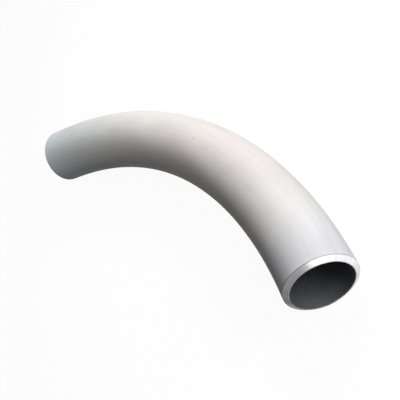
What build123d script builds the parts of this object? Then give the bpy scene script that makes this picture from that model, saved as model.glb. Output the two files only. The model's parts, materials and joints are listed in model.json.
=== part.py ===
from build123d import *
import math
import os

os.makedirs("parts", exist_ok=True)

# Steel pipe bend with plain ends prepared for butt welding, lying flat on its side.
# The origin is the centre of the inlet's end face. The inlet looks along -Y and the
# pipe turns towards -X, with its centreline in the plane Z = 0.

# Pipe section, in millimetres
pipe_diameter = 114.3
wall_thickness = 8.56

# Centreline, in millimetres and degrees
bend_radius = 800.0
bend_angle = 60.0
inlet_tangent = 20.0
outlet_tangent = 20.0

# Weld preparation of both ends: a sloped face round a narrow flat one at the bore
bevel_angle = 37.5
root_face = 1.6

# Sizes that follow
outer_radius = pipe_diameter / 2
bore_radius = outer_radius - wall_thickness
root_radius = bore_radius + root_face
bevel_depth = (outer_radius - root_radius) * math.tan(math.radians(bevel_angle))

# The inlet's axis runs into the pipe along +Y, and the bend turns about an axis
# parallel to Z through the centre of its arc.
bend_centre = Vector(-bend_radius, inlet_tangent, 0)
bend_axis = Axis(bend_centre, (0, 0, 1))
inlet_end = Plane(origin=(0, 0, 0), x_dir=(1, 0, 0), z_dir=(0, -1, 0))
arc_start = Plane(origin=(0, inlet_tangent, 0), x_dir=(1, 0, 0), z_dir=(0, -1, 0))


def on_arc(angle, radius):
    """The point of the arc's plane that lies at an angle and a radius from its centre."""
    turn = math.radians(angle)
    return bend_centre + Vector(radius * math.cos(turn), radius * math.sin(turn), 0)


def outlet_plane():
    """The plane of the outlet's end face, looking out of the pipe along its axis."""
    turn = math.radians(bend_angle)
    leaving = Vector(-math.sin(turn), math.cos(turn), 0)
    outwards = Vector(math.cos(turn), math.sin(turn), 0)
    centre = on_arc(bend_angle, bend_radius) + leaving * outlet_tangent
    return Plane(origin=centre, x_dir=outwards, z_dir=leaving)


def weld_end(end_plane, tangent):
    """A straight pipe end, turned from its wall's profile with bevel and root face."""
    profile = Polyline(
        (bore_radius, 0),
        (root_radius, 0),
        (outer_radius, -bevel_depth),
        (outer_radius, -tangent),
        (bore_radius, -tangent),
        close=True,
    )
    section = make_face(Plane.XZ * profile)
    turned = revolve(section, Axis.Z, 360)
    return end_plane * turned


def bent_wall():
    """The curved run: the pipe's ring of a section, swung about the bend's axis."""
    ring = Circle(outer_radius) - Circle(bore_radius)
    return revolve(arc_start * ring, bend_axis, bend_angle)


pipe_bend = bent_wall() + weld_end(inlet_end, inlet_tangent)
pipe_bend = pipe_bend + weld_end(outlet_plane(), outlet_tangent)

export_step(pipe_bend, "parts/pipe_bend.step")
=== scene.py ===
import json
import math
import bpy
import numpy as np
from mathutils import Matrix


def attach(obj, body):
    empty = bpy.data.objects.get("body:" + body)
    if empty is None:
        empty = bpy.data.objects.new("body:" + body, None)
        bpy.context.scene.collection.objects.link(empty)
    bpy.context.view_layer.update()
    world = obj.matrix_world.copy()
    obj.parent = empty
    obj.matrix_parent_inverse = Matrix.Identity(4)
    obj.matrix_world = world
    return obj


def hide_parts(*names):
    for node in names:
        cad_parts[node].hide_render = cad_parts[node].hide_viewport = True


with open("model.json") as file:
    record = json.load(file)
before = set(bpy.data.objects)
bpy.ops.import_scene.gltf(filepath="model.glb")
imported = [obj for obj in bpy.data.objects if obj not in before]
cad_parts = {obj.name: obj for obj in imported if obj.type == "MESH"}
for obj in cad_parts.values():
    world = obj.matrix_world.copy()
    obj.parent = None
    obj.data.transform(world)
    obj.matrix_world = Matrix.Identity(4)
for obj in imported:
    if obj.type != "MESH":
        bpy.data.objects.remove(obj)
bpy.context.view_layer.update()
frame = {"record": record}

mm = 0.001
mounts = {m["name"]: m for m in frame["record"]["mounts"]}


def linearColour(hexText):
    # sRGB to linear: c / 12.92 up to 0.04045, else ((c + 0.055) / 1.055) to the power 2.4
    parts = [int(hexText[i:i + 2], 16) / 255 for i in (1, 3, 5)]
    linear = [c / 12.92 if c <= 0.04045 else ((c + 0.055) / 1.055) ** 2.4 for c in parts]
    return (*linear, 1.0)


def addNode(tree, kind, settings=None, **inputs):
    # adds one node with its settings; every other keyword is an input. From_Min stands for the
    # input "From Min", and i0, i1 and so on for an input by its number, where names repeat.
    # A value is what the input holds, or (node, output) for a link.
    node = tree.nodes.new(kind)
    for name, value in (settings or {}).items():
        setattr(node, name, value)
    for name, value in inputs.items():
        numbered = name[0] == "i" and name[1:].isdigit()
        socket = node.inputs[int(name[1:]) if numbered else name.replace("_", " ")]
        if isinstance(value, tuple) and isinstance(value[0], bpy.types.Node):
            tree.links.new(value[0].outputs[value[1]], socket)
        else:
            socket.default_value = value
    return node


# the pipe: lengths in metres, angles in degrees
pipe = {
    "outerRadius": mounts["inlet_outside"]["dims"]["r_mm"] * mm,
    "boreRadius": mounts["inlet_bore"]["dims"]["r_mm"] * mm,
    "rootFace": 1.6 * mm,          # flat ring left round the bore
    "bevelAngle": 37.5,            # from the plane of the end
    "tangent": 20 * mm,            # straight length at each end
    "outerEdge": 0.35 * mm,        # rounding between the outside and the bevel
    "rootEdge": 0.2 * mm,          # rounding between the bevel and the root face
    "boreEdge": 0.3 * mm,          # rounding between the root face and the bore
    "edgeSteps": 5,                # points across each rounding
    "bevelSteps": 8,               # points across the bevel, without its edges
    "tangentSteps": (0.35, 0.7),   # rings on a straight end, as shares of its length
    "arcSteps": 110,               # rings along the curved run
    "aroundSteps": 200,            # points round the pipe
    "seamAngle": -90.0,            # where round the pipe the UV seam lies: underneath
}
# the outlet's axis gives the turn a, and its place the radius R, because it lies at
# x = -R (1 - cos a) - tangent sin a
outletPlace, outletAxis = mounts["outlet_bore"]["pos_m"], mounts["outlet_bore"]["axis"]
bendAngle = math.atan2(-outletAxis[0], outletAxis[1])
bendRadius = (-outletPlace[0] - pipe["tangent"] * math.sin(bendAngle)) / (1 - math.cos(bendAngle))
perDegree = pipe["outerRadius"] * math.pi / 180    # length round the outside, per degree


def roundCorner(before, corner, after, radius, steps):
    # an arc of the given radius that touches both lines through the corner: its centre lies on
    # their bisector at radius / sin(half), and its points are swept from one touch to the other
    back = (before - corner) / np.linalg.norm(before - corner)
    on = (after - corner) / np.linalg.norm(after - corner)
    half = math.acos(np.clip(back @ on, -1, 1)) / 2
    centre = corner + (back + on) / np.linalg.norm(back + on) * radius / math.sin(half)
    first = corner + back * radius / math.tan(half) - centre
    last = corner + on * radius / math.tan(half) - centre
    turn = math.pi - 2 * half
    k = np.linspace(0, 1, steps)[:, None]
    return centre + (np.sin((1 - k) * turn) * first + np.sin(k * turn) * last) / math.sin(turn)


def endProfile(p):
    # the wall's section at one end as (distance from the end, radius), from the bore out: root
    # face, then the bevel, which goes back by its height times the tangent of its angle
    outer, bore, steps = p["outerRadius"], p["boreRadius"], p["edgeSteps"]
    root = bore + p["rootFace"]
    depth = (outer - root) * math.tan(math.radians(p["bevelAngle"]))
    inside, inner = np.array([p["tangent"], bore]), np.array([0, bore])
    rootTop, shoulder = np.array([0, root]), np.array([depth, outer])
    outside = np.array([p["tangent"], outer])
    boreArc = roundCorner(inside, inner, rootTop, p["boreEdge"], steps)
    rootArc = roundCorner(inner, rootTop, shoulder, p["rootEdge"], steps)
    outerArc = roundCorner(rootTop, shoulder, outside, p["outerEdge"], steps)
    k = np.linspace(0, 1, p["bevelSteps"] + 2)[1:-1, None]
    bevel = rootArc[-1] + (outerArc[0] - rootArc[-1]) * k
    return np.vstack([boreArc, rootArc, bevel, outerArc])


def wallProfile(p):
    # the wall's closed section as (s, r), s along the centreline and r from it: inlet's end,
    # outside, outlet's end, bore; with the rows where the turned ends begin and stop
    total = bendRadius * bendAngle + 2 * p["tangent"]
    near = endProfile(p)
    far = near[::-1] * (-1, 1) + (total, 0)
    run = np.linspace(p["tangent"], total - p["tangent"], p["arcSteps"])
    straight = np.array(p["tangentSteps"]) * p["tangent"]
    along = np.concatenate([straight, run, total - straight[::-1]])
    outside = np.column_stack([along, np.full(len(along), p["outerRadius"])])
    inside = np.column_stack([along[::-1], np.full(len(along), p["boreRadius"])])
    profile = np.vstack([near, outside, far, inside])
    half = p["edgeSteps"] // 2
    farStart = len(near) + len(outside)
    rows = len(near) - half - 1, farStart + half, farStart + len(near) - 1
    print("profile points", len(profile), "centreline length", round(total, 4))
    return profile, rows


def bendSurface(p):
    # each profile point goes round the pipe: centreline(s) + r (cos(angle) outward +
    # sin(angle) up). The centreline runs straight, then on an arc about (-R, tangent) in the
    # plane z = 0, then straight, so outward turns by (s - tangent) / R along the arc alone
    profile, (nearCut, farCut, farEnd) = wallProfile(p)
    s, r = profile[:, :1], profile[:, 1:]
    arcLength = bendRadius * bendAngle
    turn = np.clip(s - p["tangent"], 0, arcLength) / bendRadius
    lead = np.minimum(s - p["tangent"], 0) + np.maximum(s - p["tangent"] - arcLength, 0)
    outward = np.concatenate([np.cos(turn), np.sin(turn)], 1)
    forward = np.concatenate([-np.sin(turn), np.cos(turn)], 1)
    centre = np.array([-bendRadius, p["tangent"]]) + bendRadius * outward + lead * forward
    rows, count = len(profile), p["aroundSteps"]
    angle = math.radians(p["seamAngle"]) + np.arange(count + 1) * 2 * math.pi / count
    ring = angle[None, :-1]
    x = centre[:, :1] + r * np.cos(ring) * outward[:, :1]
    y = centre[:, 1:] + r * np.cos(ring) * outward[:, 1:]
    z = r * np.sin(ring) + 0 * x
    points = np.stack([x, y, z], -1).reshape(-1, 3)
    i, j = np.meshgrid(np.arange(rows), np.arange(count), indexing="ij")
    nextRow, nextStep = (i + 1) % rows, (j + 1) % count
    quads = np.stack([i * count + j, nextRow * count + j,
                      nextRow * count + nextStep, i * count + nextStep], -1)
    # UV in metres: u is the length along the profile, v the length round the outside
    stepLength = np.linalg.norm(np.diff(profile, axis=0, append=profile[:1]), axis=1)
    u = np.concatenate([[0], np.cumsum(stepLength)])
    v = (angle - angle[0]) * p["outerRadius"]
    uv = np.stack([np.stack([u[i], u[i + 1], u[i + 1], u[i]], -1),
                   np.stack([v[j], v[j], v[j + 1], v[j + 1]], -1)], -1)
    # the finish of each row of faces: 0 outside, 1 turned ends, 2 bore
    face = np.full(rows, 2)
    face[:nearCut] = 1
    face[nearCut:farCut] = 0
    face[farCut:farEnd] = 1
    shoulders = float(u[nearCut]), float(u[farCut])
    return points, quads.reshape(-1, 4), uv.reshape(-1, 2), np.repeat(face, count), shoulders


def meshPiece(name, points, quads, uv, finish, materials):
    # one smooth mesh with its UV map and a finish for each face
    mesh = bpy.data.meshes.new(name)
    mesh.vertices.add(len(points))
    mesh.vertices.foreach_set("co", points.ravel())
    mesh.loops.add(quads.size)
    mesh.loops.foreach_set("vertex_index", quads.ravel().astype(np.int32))
    mesh.polygons.add(len(quads))
    mesh.polygons.foreach_set("loop_start", np.arange(0, quads.size, 4, dtype=np.int32))
    mesh.polygons.foreach_set("material_index", finish.astype(np.int32))
    layer = mesh.uv_layers.new(name="UVMap")
    layer.data.foreach_set("uv", uv.ravel())
    for material in materials:
        mesh.materials.append(material)
    mesh.update(calc_edges=True)
    mesh.shade_smooth()
    mesh.validate()
    piece = bpy.data.objects.new(name, mesh)
    bpy.context.scene.collection.objects.link(piece)
    return piece


points, quads, uv, finish, shoulders = bendSurface(pipe)
print("surface worked out", len(points), "points")


def newMaterial(name):
    # a material with an empty node tree to build in
    material = bpy.data.materials.new(name)
    material.use_nodes = True
    material.node_tree.nodes.clear()
    return material, material.node_tree


def combineTones(tree, factors):
    # all the factors multiplied together, as an output to link
    tone = factors[0], "Result"
    for factor in factors[1:]:
        step = addNode(tree, "ShaderNodeMath", {"operation": "MULTIPLY"},
                       i0=tone, i1=(factor, "Result"))
        tone = step, "Value"
    return tone


# outside of the pipe. A tone is what the colour is multiplied by, at the noise's low and high
body = {
    # tint along the pipe, from inlet shoulder to outlet shoulder: neutral, then warmer, then
    # cooler,
    # and lighter towards the outlet: painted light on the far end, painted shade on the inlet end
    "tintsAndPaintedLight": ((0.0, "#bababd"), (0.14, "#bdbbba"), (0.4, "#bfb8b6"), (0.72, "#c2c1bd"),
              (1.0, "#c4ccce")),
    "metallic": 0.03,              # low, as the rough skin scatters light and mirrors little
    "specular": 0.1,
    "roughness": (0.534, 0.696),   # at the streaks' low and high
    "noiseSpan": (0.25, 0.75),     # where nearly all of a noise's values lie
    "cloud": 90 * mm,              # size of the faint patches that pickling leaves
    "cloudTone": (0.95, 1.05),
    "streak": (110 * mm, 9 * mm),  # length and width of the drawing streaks
    "streakTone": (0.96, 1.04),
    "grit": 3 * mm,                # blasting grit is under 1 mm, drawn coarser to show
    "gritTone": (0.96, 1.04),
    "relief": 0.15 * mm,
    "reliefStrength": 0.25,
    "streakShare": 1.5,            # how much the streaks count in the relief, the grit being 1
    # dark line where the bevel's cut begins: half widths of its darkest part and of all of it
    "lineFade": (0.54 * mm, 1.26 * mm),
    "lineTone": 0.25,
    "markFade": (0.6, 1.7),        # where a mark starts to fade and ends, in its half sizes
    # dark marks: distance from the inlet's shoulder, half length and half width in mm, place
    # round the pipe in degrees from its outer side, and depth of tone
    "marks": [
        {"far": 366, "round": 80.8, "length": 1.9, "width": 1.7, "depth": 0.5},
        {"far": 364, "round": 78.0, "length": 5.0, "width": 1.2, "depth": 0.15},
        {"far": 316, "round": 82.8, "length": 1.9, "width": 1.7, "depth": 0.45},
        {"far": 323, "round": 84.5, "length": 2.2, "width": 1.8, "depth": 0.2},
        {"far": 296, "round": 82.0, "length": 9.0, "width": 1.6, "depth": 0.14},
        {"far": 289, "round": 86.0, "length": 10.0, "width": 1.4, "depth": 0.12},
        {"far": 242, "round": 84.0, "length": 12.0, "width": 1.8, "depth": 0.1},
        {"far": 176, "round": 87.0, "length": 12.0, "width": 2.0, "depth": 0.08},
        {"far": 124, "round": 62.0, "length": 9.0, "width": 1.6, "depth": 0.06},
        {"far": 842, "round": 131.8, "length": 2.4, "width": 5.0, "depth": 0.12},
        {"far": 835, "round": 138.2, "length": 4.5, "width": 1.6, "depth": 0.1},
        {"far": 560, "round": 93.0, "length": 16.0, "width": 1.5, "depth": 0.05},
    ],
}


def makeBlastedSteel(p):
    # carbon steel, drawn and bent hot, then blasted and pickled: a matte light grey skin that
    # scatters nearly all its light, with faint lengthwise streaks and soft patches
    material, tree = newMaterial("blastedSteel")
    place = addNode(tree, "ShaderNodeTexCoord")
    split = addNode(tree, "ShaderNodeSeparateXYZ", Vector=(place, "UV"))
    along = addNode(tree, "ShaderNodeMapRange", Value=(split, "X"), From_Min=shoulders[0],
                    From_Max=shoulders[1])
    # the ramp's lightness is painted light towards the outlet and painted shade at the inlet
    tint = addNode(tree, "ShaderNodeValToRGB", Fac=(along, "Result"))
    # the ramp starts with stops at 0 and 1, so only those between them are added
    stops = tint.color_ramp.elements
    for spot, colour in p["tintsAndPaintedLight"]:
        stop = stops[-1] if spot == 1.0 else stops[0] if spot == 0.0 else stops.new(spot)
        stop.color = linearColour(colour)
    cloud = addNode(tree, "ShaderNodeTexNoise", Vector=(place, "Object"),
                    Scale=1 / p["cloud"], Detail=3.0, Roughness=0.55)
    grit = addNode(tree, "ShaderNodeTexNoise", Vector=(place, "Object"),
                   Scale=1 / p["grit"], Detail=2.0, Roughness=0.6)
    length, width = p["streak"]
    stretch = addNode(tree, "ShaderNodeMapping", Vector=(place, "UV"),
                      Scale=(1 / length, 1 / width, 1))
    streak = addNode(tree, "ShaderNodeTexNoise", {"noise_dimensions": "2D"},
                     Vector=(stretch, "Vector"), Scale=1.0, Detail=2.0, Roughness=0.55)
    spanLow, spanHigh = p["noiseSpan"]
    tones = []
    for source, name in ((cloud, "cloudTone"), (streak, "streakTone"), (grit, "gritTone")):
        low, high = p[name]
        tones.append(addNode(tree, "ShaderNodeMapRange", Value=(source, "Fac"),
                             From_Min=spanLow, From_Max=spanHigh, To_Min=low, To_Max=high))
    # the line at each shoulder, by the distance from it
    lineCore, lineEdge = p["lineFade"]
    for shoulder in shoulders:
        gap = addNode(tree, "ShaderNodeMath", {"operation": "SUBTRACT"},
                      i0=(split, "X"), i1=shoulder)
        gap = addNode(tree, "ShaderNodeMath", {"operation": "ABSOLUTE"}, i0=(gap, "Value"))
        tones.append(addNode(tree, "ShaderNodeMapRange", Value=(gap, "Value"),
                             From_Min=lineCore, From_Max=lineEdge,
                             To_Min=p["lineTone"], To_Max=1.0))
    # each mark is an oval that fades out, with its edge broken up by the grit
    markCore, markEdge = p["markFade"]
    for mark in p["marks"]:
        spot = (shoulders[0] + mark["far"] * mm, (mark["round"] - pipe["seamAngle"]) * perDegree, 0)
        offset = addNode(tree, "ShaderNodeVectorMath", {"operation": "SUBTRACT"},
                         i0=(place, "UV"), i1=spot)
        shape = addNode(tree, "ShaderNodeVectorMath", {"operation": "MULTIPLY"},
                        i0=(offset, "Vector"),
                        i1=(1 / (mark["length"] * mm), 1 / (mark["width"] * mm), 0))
        reach = addNode(tree, "ShaderNodeVectorMath", {"operation": "LENGTH"},
                        i0=(shape, "Vector"))
        rough = addNode(tree, "ShaderNodeMath", {"operation": "ADD"},
                        i0=(reach, "Value"), i1=(grit, "Fac"))
        tones.append(addNode(tree, "ShaderNodeMapRange", {"interpolation_type": "SMOOTHSTEP"},
                             Value=(rough, "Value"), From_Min=markCore, From_Max=markEdge,
                             To_Min=1 - mark["depth"], To_Max=1.0))
    colour = addNode(tree, "ShaderNodeVectorMath", {"operation": "SCALE"}, i0=(tint, "Color"),
                     Scale=combineTones(tree, tones))
    smooth, coarse = p["roughness"]
    dull = addNode(tree, "ShaderNodeMapRange", Value=(streak, "Fac"), From_Min=spanLow,
                   From_Max=spanHigh, To_Min=smooth, To_Max=coarse)
    height = addNode(tree, "ShaderNodeMath", {"operation": "MULTIPLY_ADD"},
                     i0=(streak, "Fac"), i1=p["streakShare"], i2=(grit, "Fac"))
    bump = addNode(tree, "ShaderNodeBump", Height=(height, "Value"),
                   Strength=p["reliefStrength"], Distance=p["relief"])
    shader = addNode(tree, "ShaderNodeBsdfPrincipled", Base_Color=(colour, "Vector"),
                     Metallic=p["metallic"], Roughness=(dull, "Result"),
                     Specular_IOR_Level=p["specular"], Normal=(bump, "Normal"))
    addNode(tree, "ShaderNodeOutputMaterial", Surface=(shader, "BSDF"))
    return material


# bevel and root face of both ends; a noise's two sizes are across the bevel and round the pipe
ends = {
    "colour": "#f0f0f0",
    "metallic": 0.15,
    "roughness": 0.3,
    "ring": (1.1 * mm, 400 * mm),  # turning rings, 0.3 mm in truth, drawn coarser to show
    "ringTone": (0.86, 1.06),
    "chatter": (60 * mm, 14 * mm),    # faint marks across the rings
    "chatterTone": (0.9, 1.06),
    "noiseSpan": (0.3, 0.7),
    "relief": 0.1 * mm,
    "reliefStrength": 0.3,
    # stretches of painted shade round the pipe: middle and half width in degrees, depth of tone
    "dull": [(120, 38, 0.6), (205, 42, 0.75)],
    "shadeFade": 22,                    # degrees over which a stretch of painted shade ends
    "ragged": 8 * mm,              # how far the tool marks shift where it ends
}


def makeTurnedSteel(p):
    # the same steel where a lathe tool cut the bevel and the root face: bright, fine rings
    # round the pipe and faint marks across them where the tool chattered
    material, tree = newMaterial("turnedSteel")
    place = addNode(tree, "ShaderNodeTexCoord")
    split = addNode(tree, "ShaderNodeSeparateXYZ", Vector=(place, "UV"))
    spanLow, spanHigh = p["noiseSpan"]
    noises, tones = {}, []
    for name in ("ring", "chatter"):
        across, around = p[name]
        low, high = p[name + "Tone"]
        stretch = addNode(tree, "ShaderNodeMapping", Vector=(place, "UV"),
                          Scale=(1 / across, 1 / around, 1))
        noises[name] = addNode(tree, "ShaderNodeTexNoise", {"noise_dimensions": "2D"},
                               Vector=(stretch, "Vector"), Scale=1.0, Detail=2.0,
                               Roughness=0.55)
        tones.append(addNode(tree, "ShaderNodeMapRange", Value=(noises[name], "Fac"),
                             From_Min=spanLow, From_Max=spanHigh, To_Min=low, To_Max=high))
    # painted shade on the sides that lie in shade, by the distance round the pipe from their middle
    for middleAngle, halfAngle, depth in p["dull"]:
        gap = addNode(tree, "ShaderNodeMath", {"operation": "SUBTRACT"}, i0=(split, "Y"),
                      i1=(middleAngle - pipe["seamAngle"]) * perDegree)
        gap = addNode(tree, "ShaderNodeMath", {"operation": "ABSOLUTE"}, i0=(gap, "Value"))
        edge = addNode(tree, "ShaderNodeMath", {"operation": "MULTIPLY_ADD"},
                       i0=(noises["chatter"], "Fac"), i1=p["ragged"], i2=(gap, "Value"))
        tones.append(addNode(tree, "ShaderNodeMapRange", {"interpolation_type": "SMOOTHSTEP"},
                             Value=(edge, "Value"), From_Min=halfAngle * perDegree,
                             From_Max=(halfAngle + p["shadeFade"]) * perDegree,
                             To_Min=1 - depth, To_Max=1.0))
    colour = addNode(tree, "ShaderNodeVectorMath", {"operation": "SCALE"},
                     i0=linearColour(p["colour"])[:3], Scale=combineTones(tree, tones))
    bump = addNode(tree, "ShaderNodeBump", Height=(noises["ring"], "Fac"),
                   Strength=p["reliefStrength"], Distance=p["relief"])
    shader = addNode(tree, "ShaderNodeBsdfPrincipled", Base_Color=(colour, "Vector"),
                     Metallic=p["metallic"], Roughness=p["roughness"], Normal=(bump, "Normal"))
    addNode(tree, "ShaderNodeOutputMaterial", Surface=(shader, "BSDF"))
    return material


# inside of the pipe
bore = {
    "colour": "#3d4143",
    "metallic": 0.0,
    "roughness": 0.6,
    "streak": (90 * mm, 7 * mm),   # length and width
    "streakTone": (0.93, 1.07),
    "cloud": 35 * mm,              # size of the patches where the scale is thicker or thinner
    "cloudTone": (0.8, 1.2),
    "noiseSpan": (0.3, 0.7),
    "relief": 0.2 * mm,
    "reliefStrength": 0.3,
}


def makeScaledSteel(p):
    # the same steel as the hot bending left it: a dull dark mill scale, which is an oxide and
    # so no metal to the eye, with lengthwise streaks
    material, tree = newMaterial("scaledSteel")
    place = addNode(tree, "ShaderNodeTexCoord")
    length, width = p["streak"]
    stretch = addNode(tree, "ShaderNodeMapping", Vector=(place, "UV"),
                      Scale=(1 / length, 1 / width, 1))
    streak = addNode(tree, "ShaderNodeTexNoise", {"noise_dimensions": "2D"},
                     Vector=(stretch, "Vector"), Scale=1.0, Detail=2.0, Roughness=0.55)
    cloud = addNode(tree, "ShaderNodeTexNoise", Vector=(place, "Object"),
                    Scale=1 / p["cloud"], Detail=3.0, Roughness=0.55)
    spanLow, spanHigh = p["noiseSpan"]
    tones = []
    for source, name in ((streak, "streakTone"), (cloud, "cloudTone")):
        low, high = p[name]
        tones.append(addNode(tree, "ShaderNodeMapRange", Value=(source, "Fac"),
                             From_Min=spanLow, From_Max=spanHigh, To_Min=low, To_Max=high))
    colour = addNode(tree, "ShaderNodeVectorMath", {"operation": "SCALE"},
                     i0=linearColour(p["colour"])[:3], Scale=combineTones(tree, tones))
    bump = addNode(tree, "ShaderNodeBump", Height=(streak, "Fac"),
                   Strength=p["reliefStrength"], Distance=p["relief"])
    shader = addNode(tree, "ShaderNodeBsdfPrincipled", Base_Color=(colour, "Vector"),
                     Metallic=p["metallic"], Roughness=p["roughness"], Normal=(bump, "Normal"))
    addNode(tree, "ShaderNodeOutputMaterial", Surface=(shader, "BSDF"))
    return material


finishes = [makeBlastedSteel(body), makeTurnedSteel(ends), makeScaledSteel(bore)]
print("materials made", [material.name for material in finishes])

bend = meshPiece("bend", points, quads, uv, finish, finishes)
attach(bend, "root")
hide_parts("pipe_bend")
print("bend made", len(quads) * 2, "triangles")


def seenRays(tree):
    # 1 for the rays in which the camera sees the backdrop, straight, by gloss or through glass
    rays = addNode(tree, "ShaderNodeLightPath")
    seen = rays, "Is Camera Ray"
    for kind in ("Is Glossy Ray", "Is Transmission Ray"):
        either = addNode(tree, "ShaderNodeMath", {"operation": "MAXIMUM"}, i0=seen, i1=(rays, kind))
        seen = either, "Value"
    return seen


# floor, in metres
floor = {
    "size": 6.0,
    "centre": (-0.2, 0.3, -pipe["outerRadius"]),
    "bounceColour": "#202020",     # what the lamps' light bounces from
    "paperColour": "#f4f4f4",      # what the camera sees lit
    "shownWhite": 0.95,            # how much of the shown white is its own light
}


def makeFloor(p):
    # a square sheet of pale paper: where it is seen it is nearly white and still takes the
    # object's shadow, and to the object it is dark, so that the underside stays in shade
    half = p["size"] / 2
    corners = np.array([[-half, -half, 0], [half, -half, 0], [half, half, 0], [-half, half, 0]])
    mesh = bpy.data.meshes.new("floor")
    mesh.from_pydata((corners + p["centre"]).tolist(), [], [(0, 1, 2, 3)])
    sheet = bpy.data.objects.new("floor", mesh)
    bpy.context.scene.collection.objects.link(sheet)
    material, tree = newMaterial("paleFloor")
    seen = seenRays(tree)
    share = addNode(tree, "ShaderNodeMath", {"operation": "MULTIPLY"}, i0=seen, i1=p["shownWhite"])
    tint = addNode(tree, "ShaderNodeMix", {"data_type": "RGBA"}, i0=seen,
                   i6=linearColour(p["bounceColour"]), i7=linearColour(p["paperColour"]))
    paper = addNode(tree, "ShaderNodeBsdfDiffuse", Color=(tint, 2))
    glow = addNode(tree, "ShaderNodeEmission", Color=(1, 1, 1, 1), Strength=1.0)
    mix = addNode(tree, "ShaderNodeMixShader", Fac=(share, "Value"),
                  i1=(paper, "BSDF"), i2=(glow, "Emission"))
    addNode(tree, "ShaderNodeOutputMaterial", Surface=(mix, "Shader"))
    mesh.materials.append(material)


world = {"colour": "#ffffff", "strength": 0.02}    # what it gives as light; it shows as white


def makeWorld(p):
    # white where it is seen, and a faint even light on the object
    sky = bpy.data.worlds.new("studio")
    sky.use_nodes = True
    tree = sky.node_tree
    tree.nodes.clear()
    strength = addNode(tree, "ShaderNodeMapRange", Value=seenRays(tree), To_Min=p["strength"],
                       To_Max=1.0)
    glow = addNode(tree, "ShaderNodeBackground", Color=linearColour(p["colour"]),
                   Strength=(strength, "Result"))
    addNode(tree, "ShaderNodeOutputWorld", Surface=(glow, "Background"))
    bpy.context.scene.world = sky


def lookingAt(aim, azimuth, elevation, distance, roll=0.0):
    # the place and turn of something that looks at aim, in metres and degrees. For azimuth a
    # from -Y towards +X and elevation e its back is (sin a cos e, -cos a cos e, sin e), its
    # right (cos a, sin a, 0) and its up their cross product; roll turns right towards up
    a, e, turn = math.radians(azimuth), math.radians(elevation), math.radians(roll)
    back = np.array([math.sin(a) * math.cos(e), -math.cos(a) * math.cos(e), math.sin(e)])
    level = np.array([math.cos(a), math.sin(a), 0])
    upright = np.cross(back, level)
    right = level * math.cos(turn) + upright * math.sin(turn)
    up = upright * math.cos(turn) - level * math.sin(turn)
    columns = np.column_stack([right, up, back, np.array(aim) + back * distance])
    return Matrix(columns.tolist() + [[0, 0, 0, 1]])


# round soft boxes, with size in metres and power in watts
middle, farHalf = (-0.13, 0.3, 0), (-0.42, 0.72, 0)
lights = [
    {"name": "key", "aim": middle, "azimuth": 60, "elevation": 28, "distance": 2.2,
     "size": 1.3, "power": 42},
    {"name": "front", "aim": middle, "azimuth": 26, "elevation": 17, "distance": 2.2,
     "size": 1.3, "power": 11},
    {"name": "far", "aim": farHalf, "azimuth": 105, "elevation": 30, "distance": 1.3,
     "size": 0.8, "power": 16},
    {"name": "farTop", "aim": farHalf, "azimuth": 50, "elevation": 62, "distance": 0.8,
     "size": 0.5, "power": 1.0},
]


def makeLight(p):
    # a lit disk that looks at its aim
    data = bpy.data.lights.new(p["name"], "AREA")
    data.shape = "DISK"
    data.size = p["size"]
    data.energy = p["power"]
    lamp = bpy.data.objects.new(p["name"], data)
    lamp.matrix_world = lookingAt(p["aim"], p["azimuth"], p["elevation"], p["distance"])
    bpy.context.scene.collection.objects.link(lamp)


makeFloor(floor)
makeWorld(world)
print("floor and world made")
for entry in lights:
    makeLight(entry)
print("lights made", len(lights))

camera = {
    "aim": (-0.12843, 0.297578, 0),
    "azimuth": 26.141,
    "elevation": 39.118,
    "distance": 1.184262,
    "roll": -59.366,
    "focal": 683.56,               # in pixels of the frame
    "framePixels": 400,
    "sensorWidth": 36,             # millimetres
    "clipEnd": 50,
}


def makeCamera(p):
    # the lens is the focal length in pixels, as a share of the frame, times the sensor
    data = bpy.data.cameras.new("view")
    data.sensor_width = p["sensorWidth"]
    data.lens = p["sensorWidth"] * p["focal"] / p["framePixels"]
    data.clip_end = p["clipEnd"]
    eye = bpy.data.objects.new("view", data)
    eye.matrix_world = lookingAt(p["aim"], p["azimuth"], p["elevation"], p["distance"], p["roll"])
    bpy.context.scene.collection.objects.link(eye)
    bpy.context.scene.camera = eye
    place = [round(c, 4) for c in eye.matrix_world.translation]
    print("camera at", place, "lens", round(data.lens, 2))


makeCamera(camera)
bpy.context.scene.view_settings.view_transform = "Standard"
